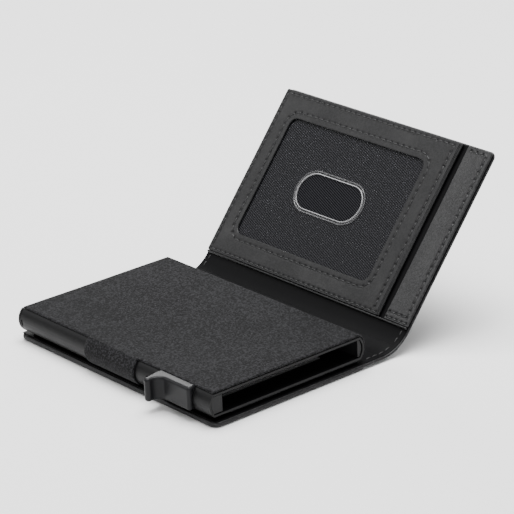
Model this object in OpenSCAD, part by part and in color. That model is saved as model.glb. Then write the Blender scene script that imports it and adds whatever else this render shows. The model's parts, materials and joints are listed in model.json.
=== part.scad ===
// Pop-up card case held in a folding cover. The case sits on the base panel, the
// spine bends along two fold lines, and the flap carries an ID window and a side pocket.
// Millimetres, +Z up, +X towards the card mouth, +Y towards the spine.

/* [Card case] */
// Length from closed end to card mouth
case_l = 97; // [94:0.5:102]
// Width across the bulge of the shell's sides
case_w = 63.4; // [61:0.1:66]
// Height of the shell
case_h = 7.5; // [6.5:0.1:9]
// Shell wall thickness
shell_t = 0.7; // [0.5:0.1:1]
// How far the shell's sides bulge past its flat top
bulge = 1.7; // [1:0.1:2.5]
// Front face of the shell, measured from the middle of the base
case_front_y = -32.2; // [-34:0.5:-30]
// Width of the card bay
bay_w = 55.5; // [54.6:0.1:57]
// Thickness of the rail that carries the push rod
rail_t = 4.55; // [4.2:0.05:5]
// Thickness of the end cap plate
cap_t = 1; // [0.8:0.1:2]

/* [Slider and ejector] */
// Travel of the thumb slider
travel = 8; // [6:0.5:9.5]
// Length of the slider plate
slider_l = 17.2; // [16:0.2:20]
// Height of the slider plate
slider_h = 7.7; // [5:0.1:8]
// How far the plate stands off the shell
slider_out = 1.4; // [1.2:0.1:3]
// How far the thumb hump stands off the shell
hump_out = 6.2; // [4:0.1:7]
// Radius of the pin the ejector swings on
pivot_r = 1.5; // [1:0.1:2]
// Reach of the ejector arm from its pivot
arm_l = 46; // [30:1:48]
// Distance from the pivot to the link pin, square to the travel
link_arm = 12; // [10:0.5:14]
// Radius of the link pin
link_r = 1.1; // [0.8:0.1:1.4]
// Number of steps on the ejector, one for each card
steps = 5; // [3:1:6]

/* [Suede wrap] */
// Thickness of the suede round the case
wrap_t = 0.8; // [0.5:0.1:1.2]
// Thickness of the suede under the case
wrap_under_t = 0.5; // [0.4:0.1:1]
// Width of the tab that comes down over the front
tab_w = 25; // [15:0.5:30]

/* [Cover] */
// Length of the cover along the spine
cover_l = 99.6; // [98:0.2:104]
// Thickness of the outer leather
leather_t = 0.7; // [0.5:0.1:1.2]
// Thickness of the lining
lining_t = 0.3; // [0.2:0.05:0.5]
// Thickness of the exterior pocket panel
pocket_t = 1.1; // [0.8:0.1:1.5]
// Front edge of the base panel
base_front_y = -31.5; // [-33:0.5:-30]
// Mouth of the exterior pocket, near the spine
pocket_mouth_y = 31.5; // [25:0.5:35]
// Thickness of the pad the case is bonded to
pad_t = 0.8; // [0.5:0.1:1.5]
// Fold line between base and spine
fold_a_y = 38; // [35:0.5:42]
// Distance between the two fold lines
spine_l = 12; // [10:0.1:14]
// Lean of the open flap from flat
lean = 50.9; // [30:0.1:80]

/* [Flap] */
// Height of the flap from fold to top edge
flap_h = 64; // [60:0.5:68]
// Thickness of the leather panels on the flap
panel_t = 0.6; // [0.5:0.1:1]
// Right edge of the window frame panel
frame_edge_x = 36.2; // [34:0.1:38]
// Left edge of the side pocket panel
side_edge_x = 38.3; // [37:0.1:40]
// Window opening along the spine
window_l = 65.4; // [60:0.2:70]
// Window opening up the flap
window_h = 44.4; // [40:0.2:48]
// Middle of the window opening along the spine
window_x = -8; // [-10:0.5:0]
// Lower edge of the window opening above the fold
window_v = 9.9; // [8:0.1:12]
// Length of the thumb hole rim
rim_l = 33; // [24:0.5:36]
// Width of the thumb hole rim
rim_w = 15.8; // [12:0.2:18]
// Breadth of the rim bead
rim_band = 1.7; // [1:0.1:2.5]

/* [Hidden] */
$fn = 64;
half_l = case_l / 2;
case_back_y = case_front_y + case_w;
leather_z = pocket_t;
lining_z = leather_z + leather_t;
fold_z = lining_z + lining_t;
pad_top_z = fold_z + pad_t;
case_z = pad_top_z + wrap_under_t;
case_top_z = case_z + case_h;
wrap_top_z = case_top_z + wrap_t;
bay_z = case_z + shell_t;
bay_top_z = case_top_z - shell_t;
rail_out_y = case_front_y + shell_t;
bay_front_y = rail_out_y + rail_t;
bay_back_y = bay_front_y + bay_w;
slot_z = case_z + case_h / 2;
slot_x = 18.2;
wrap_front_y = case_front_y + bulge;
rod_y = rail_out_y + 1.2;
rod_t = 1.6;
rod_h = 2.6;
slider_x = 23.2;
neck_x = slider_x + 0.8;
neck_l = 6.8;
slider_z = slot_z + 0.4;
neck_h = 1.8;
rail_x = -33;
rear_rail_x = -42.5;
pivot_x = -40;
pivot_y = -22.5;
link_x = pivot_x - travel / 2;
link_y = pivot_y + link_arm;
link_lean = atan(travel / 2 / link_arm);
link_reach = sqrt(link_arm * link_arm + travel * travel / 4);
lever_z = bay_z + 0.1;
lever_h = 4.8;
step_h = lever_h / steps;
foot_z = lever_z + lever_h + 0.2;
foot_t = 0.85;
half_fold = lean / 2;
bend_r = spine_l / (2 * sin(half_fold));
fold_b_y = fold_a_y + spine_l * cos(half_fold);
fold_b_z = fold_z + spine_l * sin(half_fold);
half_cover = cover_l / 2;
back_t = 0.15;
clear_t = 0.15;
frame_w = back_t + clear_t;
inner_l = half_cover - 0.5;
outer_gap = 0.45;
inner_gap = 0.2;
edge_r = 0.6;
inner_r = 0.5;
lug_l = 4.5;
lug_w = 1;
latch_x = -half_l + cap_t + 0.5;
latch_l = 0.6;
latch_h = 2.4;
latch_z = case_z + 1.85;
latch_in = 0.4;
line_l = 0.3;
line_d = 0.3;
rail_step = 1.5;
rail_back = 0.3;
play = 0.3;
cut = 1;
foot_w = 2.8;
boss_r = 2.8;
ear_r = 2.25;
ear_h = 1.9;
step_back = 0.8;
brake_x = 26;
brake_l = 14;
brake_w = 40;
brake_t = 0.4;
pad_l = 92;
pad_front_y = -29;
pad_back_y = 29.5;
pocket_seam = 3.2;
bead_h = 0.45;
window_r = 3;
roll_r = 0.42;
panel_foot = 1.1;

leather_c = [0.09, 0.09, 0.095];
lining_c = [0.06, 0.06, 0.065];
suede_c = [0.13, 0.13, 0.135];
metal_c = [0.2, 0.2, 0.21];
plastic_c = [0.05, 0.05, 0.055];
steel_c = [0.62, 0.62, 0.64];

module along_x(x0, x1) {
    translate([x0, 0, 0])
    rotate([90, 0, 90])
    linear_extrude(x1 - x0)
    children();
}

module bulged(grow) {
    half_h = case_h / 2;
    side_r = (half_h * half_h + bulge * bulge) / (2 * bulge);
    mid_z = case_z + half_h;
    translate([case_front_y + bulge, mid_z - half_h - grow])
    square([case_w - 2 * bulge, case_h + 2 * grow]);
    intersection() {
        translate([case_front_y - grow, mid_z - half_h - grow])
        square([case_w + 2 * grow, case_h + 2 * grow]);
        for (y = [case_front_y + side_r, case_back_y - side_r])
        translate([y, mid_z])
        circle(side_r + grow);
    }
}

module rounded(a0, a1, b0, b1, r) {
    translate([a0 + r, b0])
    square([a1 - a0 - 2 * r, b1 - b0]);
    translate([a0, b0 + r])
    square([a1 - a0, b1 - b0 - 2 * r]);
    for (a = [a0 + r, a1 - r], b = [b0 + r, b1 - r])
    translate([a, b])
    circle(r);
}

module capsule(len, r) {
    translate([0, -r])
    square([len, 2 * r]);
    circle(r);
    translate([len, 0])
    circle(r);
}

module slab(x0, x1, y0, y1, z0, z1) {
    translate([x0, y0, z0])
    cube([x1 - x0, y1 - y0, z1 - z0]);
}

module sheet(x0, x1, y0, y1, z0, z1, r) {
    translate([0, 0, z0])
    linear_extrude(z1 - z0)
    rounded(x0, x1, y0, y1, r);
}

module on_flap() {
    translate([0, fold_b_y, fold_b_z])
    rotate([lean, 0, 0])
    children();
}

module shell_outline() {
    bulged(0);
}

module bay_outline() {
    bulged(-shell_t);
}

// Extruded aluminium tube with a slot for the slider and a window for the cap latch.
module case_shell() color(metal_c) difference() {
    along_x(-half_l + cap_t, half_l) difference() {
        shell_outline();
        bay_outline();
    }
    slab(slot_x, neck_x + neck_l + travel + play, case_front_y - cut, rail_out_y + cut,
        slot_z - neck_h / 2 - 0.2, slot_z + neck_h / 2 + 0.2);
    slab(latch_x - 0.05, latch_x + latch_l + 0.05, case_front_y - cut, rail_out_y + cut,
        latch_z - 0.05, latch_z + latch_h + 0.05);
    translate([pivot_x, pivot_y, case_z - cut])
    cylinder(h = shell_t + 2 * cut, r = pivot_r);
}

// Closed end of the case, held by a latch nub, with a shadow line where it meets the shell.
module end_cap() color(plastic_c) union() {
    along_x(-half_l, -half_l + cap_t - line_l) shell_outline();
    along_x(-half_l + cap_t / 2, -half_l + cap_t) bulged(-line_d);
    cap_lug(rail_out_y, rail_out_y + lug_w);
    cap_lug(bay_back_y + 0.2, case_back_y - shell_t);
    slab(latch_x, latch_x + latch_l, case_front_y + latch_in, rail_out_y + lug_w, latch_z,
        latch_z + latch_h);
}

module cap_lug(y0, y1) {
    along_x(-half_l + cap_t - 0.1, -half_l + cap_t + lug_l) intersection() {
        bay_outline();
        translate([y0, bay_z + lug_w])
        square([y1 - y0, bay_top_z - bay_z - 2 * lug_w]);
    }
}

module rail_block(y0, y1, x0) {
    along_x(x0, half_l - rail_step) rail_section(y0, y1, 0);
    along_x(half_l - rail_step - play, half_l - rail_back) rail_section(y0, y1, line_d);
}

module rail_section(y0, y1, inset) intersection() {
    bulged(-shell_t - inset);
    translate([y0, bay_z])
    square([y1 - y0, bay_top_z - bay_z]);
}

// Thick guide on the slider side, channelled for the push rod and stepped in at the mouth.
module front_rail() color(plastic_c) difference() {
    rail_block(rail_out_y, bay_front_y, rail_x);
    slab(rail_x - cut, neck_x + neck_l + travel + 2 * play, rod_y - 0.1, rod_y + rod_t + 0.1,
        slot_z - rod_h / 2 - 0.1, slot_z + rod_h / 2 + 0.1);
    slab(slot_x, neck_x + neck_l + travel + play, rail_out_y - cut, rod_y + rod_t / 2,
        slot_z - neck_h / 2 - 0.2, slot_z + neck_h / 2 + 0.2);
}

module rear_rail() color(plastic_c) rail_block(bay_back_y, case_back_y - shell_t, rear_rail_x);

// Felt strip that holds the cards by friction.
module card_brake() color(lining_c) {
    slab(brake_x, brake_x + brake_l, -brake_w / 2, brake_w / 2, bay_z, bay_z + brake_t);
}

module ejector_pivot() color(steel_c) translate([pivot_x, pivot_y, case_z]) {
    cylinder(h = lever_z + lever_h + 0.05 - case_z, r = pivot_r);
}

// Suede glued over the top, the spine side and the underside, with a tab down the front.
module case_wrap() color(suede_c) union() {
    along_x(-half_l + cap_t, half_l - 0.2) intersection() {
        wrap_ring();
        translate([wrap_front_y, 0])
        square([case_w, 2 * wrap_top_z]);
    }
    along_x(-tab_w / 2, tab_w / 2) intersection() {
        wrap_ring();
        translate([case_front_y - 2 * wrap_t, 0])
        square([bulge + 4, 2 * wrap_top_z]);
    }
}

module wrap_ring() {
    difference() {
        intersection() {
            bulged(wrap_t);
            translate([-case_w, pad_top_z])
            square([2 * case_w, case_w]);
        }
        bulged(0);
    }
}

// Pad that bonds the wrapped case to the base.
module mounting_pad() color(plastic_c) {
    sheet(-pad_l / 2, pad_l / 2, pad_front_y, pad_back_y, fold_z, pad_top_z, 1.5);
}

module base_lining() color(lining_c) {
    sheet(-inner_l, inner_l, base_front_y + 0.9, fold_a_y - inner_gap, lining_z, fold_z,
        inner_r);
}

module base_cover() color(leather_c) {
    sheet(-half_cover, half_cover, base_front_y, fold_a_y - outer_gap, leather_z, lining_z,
        edge_r);
}

// Exterior slot pocket, sewn on three sides and open towards the spine.
module pocket_panel() color(leather_c) difference() {
    sheet(-half_cover, half_cover, base_front_y, pocket_mouth_y, 0, pocket_t, edge_r);
    slab(pocket_seam - half_cover, half_cover - pocket_seam, base_front_y + pocket_seam,
        pocket_mouth_y + cut, pocket_t - 0.2, pocket_t + cut);
}

module spine_arc(r0, r1, gap, half) {
    trim = gap / r0 * 180 / PI;
    far = 4 * bend_r;
    along_x(-half, half) translate([fold_a_y, fold_z + bend_r]) intersection() {
        difference() {
            circle(r1, $fn = 128);
            circle(r0, $fn = 128);
        }
        polygon([[0, 0], [far * sin(trim), -far * cos(trim)],
            [far * sin(half_fold), -far * cos(half_fold)],
            [far * sin(lean - trim), -far * cos(lean - trim)]]);
    }
}

module spine_cover() color(leather_c) {
    spine_arc(bend_r + lining_t, bend_r + lining_t + leather_t, outer_gap, half_cover);
}

module spine_lining() color(lining_c) {
    spine_arc(bend_r, bend_r + lining_t, inner_gap, inner_l);
}

module flap_cover() color(leather_c) on_flap() {
    sheet(-half_cover, half_cover, outer_gap, flap_h, -lining_t - leather_t, -lining_t,
        edge_r);
}

module flap_lining() color(lining_c) on_flap() {
    sheet(-inner_l, inner_l, inner_gap, flap_h - inner_r, -lining_t, 0, inner_r);
}

// Twill behind the window, the back wall of the ID pocket.
module id_backing() color(lining_c) on_flap() {
    sheet(0.2 - inner_l, frame_edge_x - 0.6, panel_foot + 0.1, flap_h - 0.9, 0, back_t, inner_r);
}

module id_window() color([0.5, 0.5, 0.52, 0.3]) on_flap() difference() {
    sheet(0.5 - inner_l, frame_edge_x - 1.5, panel_foot + 0.3, flap_h - 1.6, back_t, frame_w,
        inner_r);
    translate([window_x, window_v + window_h / 2, -cut])
    linear_extrude(2 * cut)
    thumb_outline(rim_w / 2 - rim_band);
}

module thumb_outline(r) {
    translate([-(rim_l - rim_w) / 2, 0])
    capsule(rim_l - rim_w, r);
}

// Moulded bead round the thumb hole.
module thumb_rim() color([0.7, 0.7, 0.72, 0.5]) on_flap() {
    translate([window_x, window_v + window_h / 2, frame_w])
    linear_extrude(bead_h)
    difference() {
        thumb_outline(rim_w / 2);
        thumb_outline(rim_w / 2 - rim_band);
    }
}

module id_frame() color(leather_c) on_flap() difference() {
    sheet(-inner_l, frame_edge_x, panel_foot, flap_h - inner_r, frame_w, frame_w + panel_t,
        inner_r);
    sheet(window_x - window_l / 2, window_x + window_l / 2, window_v, window_v + window_h,
        -cut, 2 * cut, window_r);
}

module side_pocket() color(leather_c) on_flap() {
    sheet(side_edge_x, inner_l, panel_foot, flap_h - inner_r, 0, panel_t, inner_r);
}

// Rolled edge along the foot of the flap panels.
module seam_roll() color(leather_c) on_flap() {
    translate([-inner_l, inner_gap + roll_r, roll_r])
    rotate([0, 90, 0])
    cylinder(h = 2 * inner_l, r = roll_r);
}

module plate_outline() {
    r = 1;
    y1 = case_front_y - 0.1;
    y0 = case_front_y - slider_out;
    intersection() {
        translate([slider_x, y0])
        square([slider_l, y1 - y0]);
        union() {
            translate([slider_x, y0 + r])
            square([slider_l, y1 - y0]);
            translate([slider_x + r, y0])
            square([slider_l - 2 * r, r]);
            for (x = [slider_x + r, slider_x + slider_l - r])
            translate([x, y0 + r])
            circle(r);
        }
    }
}

module hump_outline() {
    tip = 1.2;
    dip = 2.8;
    tip_x = slider_x + 2.2;
    tip_y = case_front_y - hump_out + tip;
    dip_y = case_front_y - slider_out - dip;
    dip_x = tip_x + sqrt((tip + dip) * (tip + dip) - (tip_y - dip_y) * (tip_y - dip_y)) - 0.1;
    back_y = case_front_y - 0.1;
    difference() {
        union() {
            translate([tip_x, tip_y])
            circle(tip);
            polygon([[slider_x, back_y], [tip_x - tip, tip_y], [tip_x, tip_y],
                [dip_x, dip_y], [dip_x, back_y]]);
        }
        translate([dip_x, dip_y])
        circle(dip);
    }
}

module edge_profile(y0) {
    rounded(y0, case_front_y + 3, slider_z - slider_h / 2, slider_z + slider_h / 2, 0.9);
}

// Thumb slider: plate, thumb hump and the neck that joins the push rod.
module thumb_slider() color(metal_c) union() {
    intersection() {
        translate([0, 0, slot_z - slider_h])
        linear_extrude(2 * slider_h)
        plate_outline();
        along_x(slider_x - 1, slider_x + slider_l + 1) edge_profile(case_front_y - slider_out);
    }
    intersection() {
        translate([0, 0, slot_z - slider_h])
        linear_extrude(2 * slider_h)
        hump_outline();
        along_x(slider_x - 1, slider_x + slider_l + 1) edge_profile(case_front_y - hump_out);
    }
    slab(neck_x, neck_x + neck_l, case_front_y - 0.5, rod_y, slot_z - neck_h / 2,
        slot_z + neck_h / 2);
}

// Rod inside the rail, with a foot that reaches across behind the cards.
module push_rod() color(plastic_c) difference() {
    union() {
        slab(link_x - foot_w / 2, neck_x + neck_l, rod_y, rod_y + rod_t, slot_z - rod_h / 2,
            slot_z + rod_h / 2);
        slab(link_x - foot_w / 2, link_x + foot_w / 2, rod_y, rod_y + rod_t, slot_z, foot_z + foot_t);
        slab(link_x - foot_w / 2, link_x + foot_w / 2, rod_y, link_y + 2, foot_z, foot_z + foot_t);
    }
    translate([link_x, link_y, foot_z - cut])
    cylinder(h = foot_t + 2 * cut, r = link_r);
}

module link_pin() color(steel_c) translate([link_x, link_y, foot_z - ear_h + 0.1]) {
    cylinder(h = foot_t + ear_h - 0.1, r = link_r);
}

// Stepped lever that fans the cards, with a slotted ear driven by the link pin.
module ejector_lever() color(plastic_c) difference() {
    translate([pivot_x, pivot_y, lever_z]) union() {
        cylinder(h = lever_h, r = boss_r);
        for (i = [0:steps - 1])
        slab(0.2 - boss_r, boss_r - 0.4 - step_back * i, 0, arm_l, i * step_h, (i + 1) * step_h);
        translate([0, 0, lever_h - ear_h])
        linear_extrude(ear_h)
        rotate(90 + link_lean)
        capsule(link_reach, ear_r);
    }
    translate([pivot_x, pivot_y, lever_z - cut])
    cylinder(h = lever_h + 2 * cut, r = pivot_r + 0.05);
    translate([pivot_x, pivot_y, lever_z + lever_h - ear_h - 0.1])
    linear_extrude(ear_h + cut)
    rotate(90 + link_lean)
    translate([link_arm - 0.1, 0])
    capsule(link_reach - link_arm + 0.2, link_r + 0.25);
}

case_shell();
end_cap();
front_rail();
rear_rail();
card_brake();
ejector_pivot();
case_wrap();
mounting_pad();
base_lining();
base_cover();
pocket_panel();
spine_cover();
spine_lining();
flap_cover();
flap_lining();
id_backing();
id_window();
thumb_rim();
id_frame();
side_pocket();
seam_roll();
thumb_slider();
push_rod();
link_pin();
ejector_lever();
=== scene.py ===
"""Pop-up card case in a folding leather cover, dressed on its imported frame."""
import json
import math

import bmesh
import bpy
import numpy as np
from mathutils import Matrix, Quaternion, Vector, kdtree


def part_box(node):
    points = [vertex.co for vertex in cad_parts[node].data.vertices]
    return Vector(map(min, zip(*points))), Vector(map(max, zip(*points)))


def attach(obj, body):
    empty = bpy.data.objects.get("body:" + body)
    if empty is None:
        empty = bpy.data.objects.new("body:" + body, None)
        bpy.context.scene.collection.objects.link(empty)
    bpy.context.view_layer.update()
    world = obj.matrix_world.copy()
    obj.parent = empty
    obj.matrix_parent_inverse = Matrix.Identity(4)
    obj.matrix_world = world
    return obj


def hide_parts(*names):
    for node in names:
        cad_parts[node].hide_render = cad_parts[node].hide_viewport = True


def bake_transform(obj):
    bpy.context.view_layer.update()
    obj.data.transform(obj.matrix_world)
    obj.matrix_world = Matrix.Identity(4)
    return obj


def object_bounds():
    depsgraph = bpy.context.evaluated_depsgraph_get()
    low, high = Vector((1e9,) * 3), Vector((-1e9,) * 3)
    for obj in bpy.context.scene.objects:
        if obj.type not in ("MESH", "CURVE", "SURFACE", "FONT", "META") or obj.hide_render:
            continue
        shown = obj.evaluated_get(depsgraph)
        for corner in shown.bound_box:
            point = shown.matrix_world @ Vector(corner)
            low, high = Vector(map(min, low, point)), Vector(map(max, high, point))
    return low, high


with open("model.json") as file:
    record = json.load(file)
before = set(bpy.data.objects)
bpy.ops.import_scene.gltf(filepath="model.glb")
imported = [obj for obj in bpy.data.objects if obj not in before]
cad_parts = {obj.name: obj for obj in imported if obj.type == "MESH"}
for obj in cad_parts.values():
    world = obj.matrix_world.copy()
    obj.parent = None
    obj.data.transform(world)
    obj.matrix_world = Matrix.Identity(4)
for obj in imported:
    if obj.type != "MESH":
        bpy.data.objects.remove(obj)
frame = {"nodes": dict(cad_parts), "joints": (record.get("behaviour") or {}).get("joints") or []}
cad_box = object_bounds()
MM = 0.001

# ---------------------------------------------------------------- places taken from the frame

joints = {joint["name"]: joint for joint in frame["joints"]}
fold_a = Vector(joints["spine_fold"]["pos_m"])
fold_b = Vector(joints["flap_fold"]["pos_m"])
spine = fold_b - fold_a
half_fold = math.atan2(spine.z, spine.y)
lean = 2 * half_fold
bend_r = spine.length / (2 * math.sin(half_fold))
arc_len = bend_r * lean
up_flap = np.array([0, math.cos(lean), math.sin(lean)])
off_flap = np.array([0, -math.sin(lean), math.cos(lean)])

lining_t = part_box("base_lining")[1].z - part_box("base_lining")[0].z
leather_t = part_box("base_cover")[1].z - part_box("base_cover")[0].z
cover_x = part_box("base_cover")[1].x
lining_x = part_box("base_lining")[1].x


def flap_extent(name):
    """Lowest and highest (along the spine, up the flap, off the flap) of a CAD node."""
    points = np.array([vertex.co for vertex in frame["nodes"][name].data.vertices])
    rel = points - np.array(fold_b)
    local = np.stack([rel[:, 0], rel @ up_flap, rel @ off_flap], axis=1)
    return local.min(axis=0), local.max(axis=0)


def on_base(x, s, d):
    """Points in the shared frame for x, y and height."""
    return np.stack([x, s, d], axis=-1)


def on_flap(x, s, d):
    """Points in the shared frame for x, height s up the flap and distance d off its lining."""
    return (
        np.array(fold_b)
        + x[..., None] * np.array([1, 0, 0])
        + s[..., None] * up_flap
        + d[..., None] * off_flap
    )


def on_cover(x, s, d):
    """Points in the shared frame along the cover: s is 0 at the base's fold, and d is off the lining."""
    turn = np.clip(s, 0, arc_len) / bend_r
    past = np.clip(s - arc_len, 0, None)
    y = fold_a.y + np.minimum(s, 0) + (bend_r - d) * np.sin(turn) + past * up_flap[1]
    z = fold_a.z + bend_r - (bend_r - d) * np.cos(turn) + past * up_flap[2]
    return np.stack([x, y, z], axis=-1)


# ---------------------------------------------------------------- materials

def linear(hex_colour):
    """An sRGB hex colour as the linear RGBA that shaders use."""
    parts = [int(hex_colour[i:i + 2], 16) / 255 for i in (1, 3, 5)]
    return tuple(c / 12.92 if c <= 0.04045 else ((c + 0.055) / 1.055) ** 2.4 for c in parts) + (1,)


def add(tree, kind, sockets=None, **settings):
    """A node with its settings, and its inputs linked or set."""
    made = tree.nodes.new(kind)
    for name, value in settings.items():
        setattr(made, name, value)
    for name, value in (sockets or {}).items():
        if isinstance(value, bpy.types.NodeSocket):
            tree.links.new(value, made.inputs[name])
        else:
            made.inputs[name].default_value = value
    return made


def new_material(name, **surface):
    """A material with an empty Principled shader: constants are set on the shader's own sockets."""
    made = bpy.data.materials.new(name)
    made.use_nodes = True
    shader = made.node_tree.nodes["Principled BSDF"]
    for socket, value in surface.items():
        shader.inputs[socket.replace("_", " ")].default_value = value
    return made, made.node_tree, shader


def two_tone(tree, shader, factor, dark, light):
    """Links a blend of two colours to the shader's colour."""
    blend = add(tree, "ShaderNodeMix", {"Factor": factor}, data_type="RGBA")
    blend.inputs["A"].default_value = linear(dark)
    blend.inputs["B"].default_value = linear(light)
    tree.links.new(blend.outputs["Result"], shader.inputs["Base Color"])


def bump(tree, shader, height, depth, strength, below=None):
    """Chains a bump of real depth in metres and links it to the shader."""
    sockets = {"Height": height, "Distance": depth, "Strength": strength}
    if below is not None:
        sockets["Normal"] = below.outputs["Normal"]
    made = add(tree, "ShaderNodeBump", sockets)
    tree.links.new(made.outputs["Normal"], shader.inputs["Normal"])
    return made


def ranged(tree, value, low, high):
    """A 0 to 1 value spread over low to high."""
    spread = add(tree, "ShaderNodeMapRange", {"Value": value, "To Min": low, "To Max": high})
    return spread.outputs["Result"]


def bands(pitch):
    """The wave texture's scale for bands a pitch apart: it runs through 20 radians per unit of scale."""
    return math.tau / (20 * pitch)


def noise(tree, where, size, **more):
    """Noise whose features are about a size in metres."""
    return add(tree, "ShaderNodeTexNoise", {"Vector": where, "Scale": 1 / size, **more}).outputs["Fac"]


def piece_coordinates(tree):
    """Places in metres on the piece itself."""
    return add(tree, "ShaderNodeTexCoord").outputs["Object"]


def sheet_coordinates(tree):
    """Places on the piece's own UV map, which stay put when it bends."""
    return add(tree, "ShaderNodeUVMap", uv_map="flat").outputs["UV"]


def grained_leather(name, dark, light, gloss, grain, depth):
    """Coated split leather, rolled with a fine grain: small domed cells with dull valleys."""
    made, tree, shader = new_material(name, Roughness=gloss, Specular_IOR_Level=0.3)
    flat = sheet_coordinates(tree)
    cells = add(tree, "ShaderNodeTexVoronoi", {"Vector": flat, "Scale": 1 / grain, "Randomness": 0.9},
                feature="SMOOTH_F1")
    pores = noise(tree, flat, 0.45 * grain, Detail=3)
    hand = noise(tree, flat, 16 * MM, Detail=4, Roughness=0.6)
    tone = add(tree, "ShaderNodeMath", {0: cells.outputs["Distance"], 1: hand},
               operation="MULTIPLY")
    two_tone(tree, shader, ranged(tree, tone.outputs["Value"], -0.45, 3.6), dark, light)
    tree.links.new(ranged(tree, hand, gloss - 0.24, gloss + 0.26), shader.inputs["Roughness"])
    below = bump(tree, shader, cells.outputs["Distance"], depth, 0.7)
    bump(tree, shader, pores, 0.6 * depth, 0.5, below)
    return made


def nubuck_suede():
    """Microfibre suede: short nap in specks about half a millimetre wide, lighter where it was brushed."""
    made, tree, shader = new_material("nubuck suede", Roughness=0.9, IOR=1.45, Specular_IOR_Level=0.16,
                                      Sheen_Weight=0.04, Sheen_Roughness=0.5)
    place = piece_coordinates(tree)
    nap = noise(tree, place, 0.6 * MM, Detail=3, Roughness=0.75)
    brushed = noise(tree, place, 22 * MM, Detail=5, Roughness=0.62, Distortion=0.6)
    specks = ranged(tree, nap, -4.2, 4.7)
    tone = add(tree, "ShaderNodeMath", {0: specks, 1: ranged(tree, brushed, -0.5, 0.5)},
               operation="ADD")
    tone.use_clamp = True
    two_tone(tree, shader, tone.outputs["Value"], "#010102", "#242426")
    bump(tree, shader, nap, 0.12 * MM, 0.8)
    return made


def twill_cloth():
    """Diagonal nylon twill, ribs 0.69 mm apart, 20 degrees off the spine's line."""
    made, tree, shader = new_material("twill cloth", Roughness=0.6, Specular_IOR_Level=0.05)
    flat = sheet_coordinates(tree)
    turned = add(tree, "ShaderNodeMapping", {"Vector": flat, "Rotation": (0, 0, math.radians(20.3))})
    ribs = add(tree, "ShaderNodeTexWave", {"Vector": turned.outputs["Vector"], "Scale": bands(0.69 * MM),
                                           "Distortion": 0.25, "Detail": 1}, bands_direction="Y")
    yarn = add(tree, "ShaderNodeTexWave", {"Vector": turned.outputs["Vector"], "Scale": bands(0.8 * MM)},
               bands_direction="X")
    height = add(tree, "ShaderNodeMath", {0: yarn.outputs["Fac"], 1: 0.18, 2: ribs.outputs["Fac"]},
                 operation="MULTIPLY_ADD")
    two_tone(tree, shader, ranged(tree, height.outputs["Value"], -0.35, 0.95), "#000001", "#26262a")
    bump(tree, shader, height.outputs["Value"], 0.12 * MM, 0.8)
    return made


def coated_lining():
    """Lining with a smooth polyurethane face: nearly flat, with a faint drawn grain."""
    made, tree, shader = new_material("coated lining", Roughness=0.5, Specular_IOR_Level=0.07)
    flat = sheet_coordinates(tree)
    drawn = add(tree, "ShaderNodeMapping", {"Vector": flat, "Scale": (0.35, 1, 1)})
    grain = noise(tree, drawn.outputs["Vector"], 0.7 * MM, Detail=4)
    hand = noise(tree, flat, 20 * MM, Detail=2)
    two_tone(tree, shader, hand, "#020203", "#070708")
    tree.links.new(ranged(tree, grain, 0.42, 0.6), shader.inputs["Roughness"])
    bump(tree, shader, grain, 0.02 * MM, 0.6)
    return made


def moulded(name, dark, light, rough, texture, gloss=0.22):
    """Moulded ABS with a spark-eroded texture from the tool."""
    made, tree, shader = new_material(name, Roughness=rough, Specular_IOR_Level=gloss)
    place = piece_coordinates(tree)
    spark = noise(tree, place, texture, Detail=2)
    flow = noise(tree, place, 9 * MM, Detail=2)
    two_tone(tree, shader, flow, dark, light)
    tree.links.new(ranged(tree, spark, rough - 0.06, rough + 0.08), shader.inputs["Roughness"])
    bump(tree, shader, spark, 0.015 * MM, 0.5)
    return made


def anodised_shell():
    """Extruded aluminium, bead blasted and anodised black: satin, with faint lines along the extrusion."""
    made, tree, shader = new_material("black anodised aluminium", Metallic=0.15, Roughness=0.45,
                                      Specular_IOR_Level=0.2)
    place = piece_coordinates(tree)
    drawn = add(tree, "ShaderNodeMapping", {"Vector": place, "Scale": (0.03, 1, 1)})
    lines = noise(tree, drawn.outputs["Vector"], 0.3 * MM, Detail=2)
    blast = noise(tree, place, 0.25 * MM, Detail=1)
    two_tone(tree, shader, blast, "#080809", "#101011")
    tree.links.new(ranged(tree, lines, 0.4, 0.55), shader.inputs["Roughness"])
    bump(tree, shader, blast, 0.01 * MM, 0.5)
    return made


def turned_steel():
    """Turned steel pins, with fine rings from the lathe."""
    made, tree, shader = new_material("turned steel", Metallic=1.0, Roughness=0.3)
    place = piece_coordinates(tree)
    rings = add(tree, "ShaderNodeTexWave", {"Vector": place, "Scale": bands(0.12 * MM)},
                bands_direction="Z")
    two_tone(tree, shader, rings.outputs["Fac"], "#8d8f92", "#b7b8ba")
    bump(tree, shader, rings.outputs["Fac"], 0.005 * MM, 0.5)
    return made


def pressed_felt():
    """Pressed wool felt: matted fibres, no sheen."""
    made, tree, shader = new_material("pressed felt", Roughness=1.0, Sheen_Weight=0.4)
    place = piece_coordinates(tree)
    fibres = noise(tree, place, 0.4 * MM, Detail=6, Distortion=2.0)
    two_tone(tree, shader, fibres, "#101011", "#2c2c2e")
    bump(tree, shader, fibres, 0.1 * MM, 1.0)
    return made


def foam_tape():
    """Closed-cell foam tape: dull black, with small cut cells."""
    made, tree, shader = new_material("foam tape", Roughness=0.9)
    place = piece_coordinates(tree)
    cells = add(tree, "ShaderNodeTexVoronoi", {"Vector": place, "Scale": 1 / (0.35 * MM)})
    two_tone(tree, shader, cells.outputs["Distance"], "#1a1a1b", "#0b0b0c")
    bump(tree, shader, cells.outputs["Distance"], 0.08 * MM, 0.8)
    return made


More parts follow.
